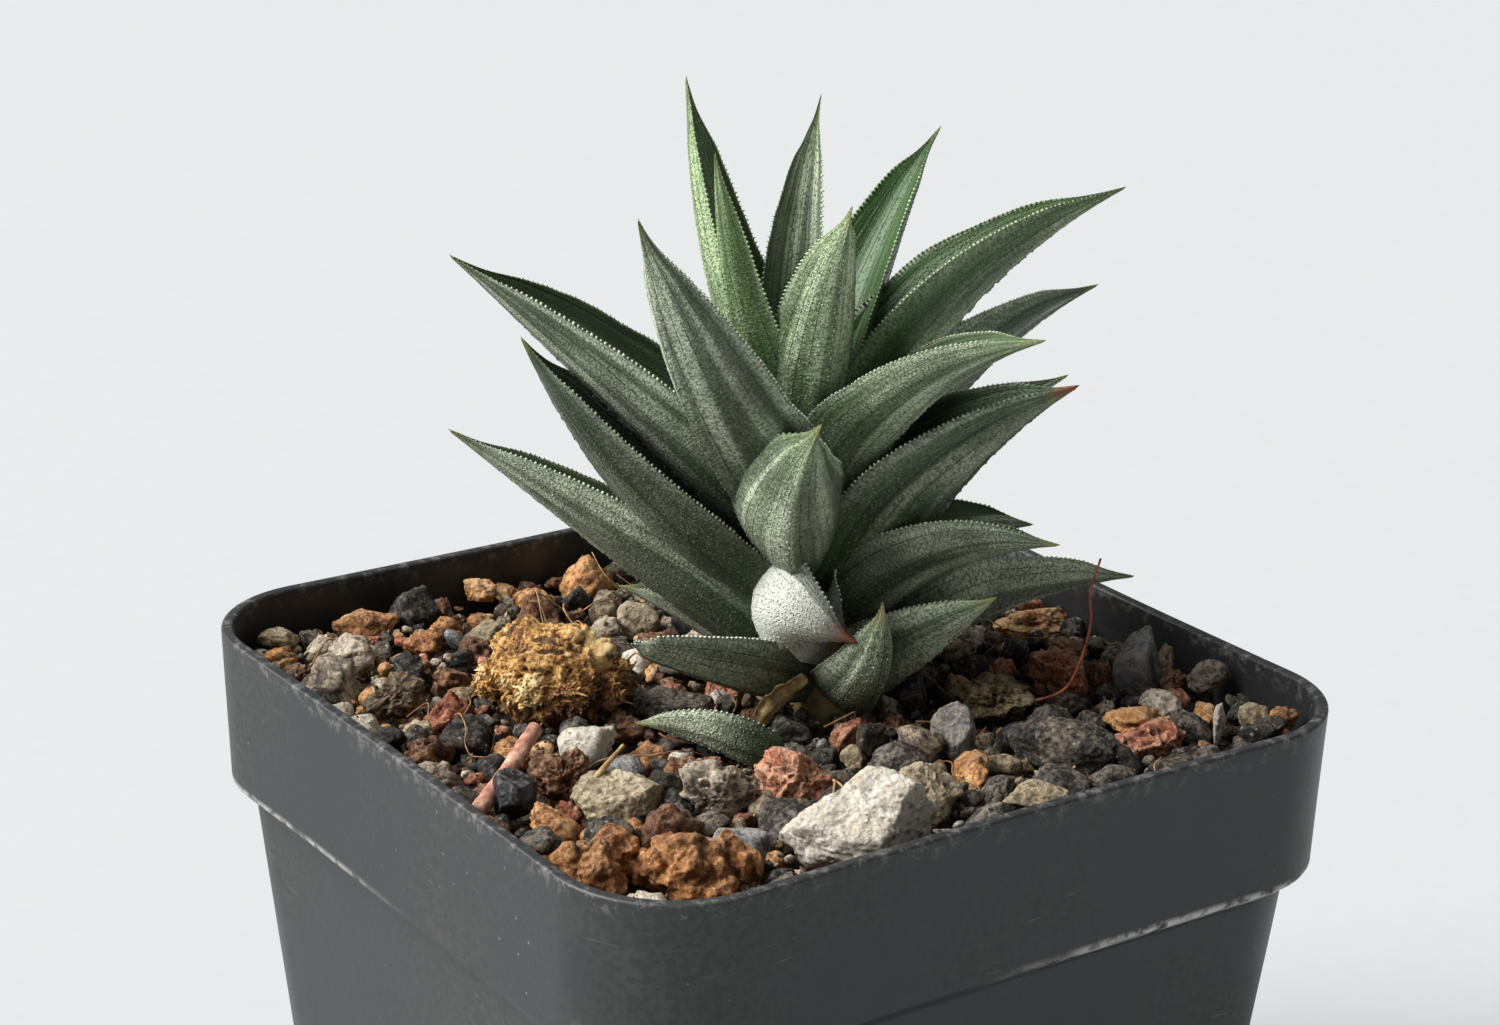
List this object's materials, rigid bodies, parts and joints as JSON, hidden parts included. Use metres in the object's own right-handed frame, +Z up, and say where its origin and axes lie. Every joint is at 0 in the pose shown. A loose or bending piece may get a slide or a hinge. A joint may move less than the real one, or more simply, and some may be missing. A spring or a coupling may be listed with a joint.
{
  "type": "potted haworthia",
  "caption": "Leaning rosette of thick, keeled, pointed grey-green leaves in a square black nursery pot of loose mineral mix.",
  "frame": {"origin": "middle of the pot's underside, on the surface that it stands on", "axes": "+Z up; +X and +Y square to the pot's sides, so that the picture's nearest corner of the pot is at -X -Y"},
  "size_m": [0.075, 0.075, 0.1202],
  "materials": {
    "pot_plastic": "black moulded plastic with a dull satin sheen, scuffed and chalky along the rim and ledge",
    "mineral_mix": "loose rough chips of dark basalt, red lava, orange clay and tan pumice",
    "leaf": "living leaf, powdery grey-green with rows of fine pale tubercles, deep green inside the channel",
    "stem": "pale corky stem and fleshy roots",
    "pumice": "rough, porous, off-white",
    "baked_clay": "unglazed granular orange-tan fired clay",
    "red_lava": "porous brick-red volcanic stone",
    "dark_basalt": "rough dark grey stone with paler dusty faces",
    "tan_stone": "dull grey-tan stone",
    "dry_fibre": "dry, ragged, straw-yellow plant fibre",
    "bark": "dark decayed bark with dry moss",
    "twig": "pinkish-brown dry twig and root"
  },
  "bodies": {
    "root": {"pot": "pot_plastic", "potting_mix": "mineral_mix", "stem_and_roots": "stem", "leaf_crown_inner": "leaf", "leaf_crown_tall": "leaf", "leaf_crown_front": "leaf", "leaf_crown_back": "leaf", "leaf_crown_right": "leaf", "leaf_upper_right": "leaf", "leaf_upper_left": "leaf", "leaf_upper_front": "leaf", "leaf_upper_back": "leaf", "leaf_shoulder_front": "leaf", "leaf_shoulder_left": "leaf", "leaf_shoulder_right": "leaf", "leaf_shoulder_back": "leaf", "leaf_middle_right_behind": "leaf", "leaf_middle_left_behind": "leaf", "leaf_middle_front": "leaf", "leaf_middle_left": "leaf", "leaf_middle_right": "leaf", "leaf_middle_back": "leaf", "leaf_middle_back_right": "leaf", "leaf_low_front_right": "leaf", "leaf_low_recurved": "leaf", "leaf_low_back_left": "leaf", "leaf_low_left": "leaf", "leaf_low_right": "leaf", "leaf_low_back": "leaf", "leaf_base_left": "leaf", "leaf_base_back_right": "leaf", "leaf_base_short": "leaf", "leaf_base_right": "leaf", "leaf_base_back_left": "leaf", "leaf_fallen": "leaf", "pumice_white": "pumice", "clay_cluster": "baked_clay", "lava_red_front": "red_lava", "basalt_rough": "dark_basalt", "stone_tan": "tan_stone", "lava_brown": "red_lava", "chip_glassy": "dark_basalt", "slate_standing": "dark_basalt", "basalt_right": "dark_basalt", "lava_red_right": "red_lava", "lava_red_back": "red_lava", "slate_front": "dark_basalt", "slate_flat": "dark_basalt", "stone_brown": "tan_stone", "clay_orange": "baked_clay", "bark_dark": "bark", "mossy_chunk": "bark", "fibre_clump": "dry_fibre", "twig_pink": "twig", "twig_thin": "dry_fibre", "rootlet": "twig", "dry_scrap": "dry_fibre"}
  },
  "joints": []
}
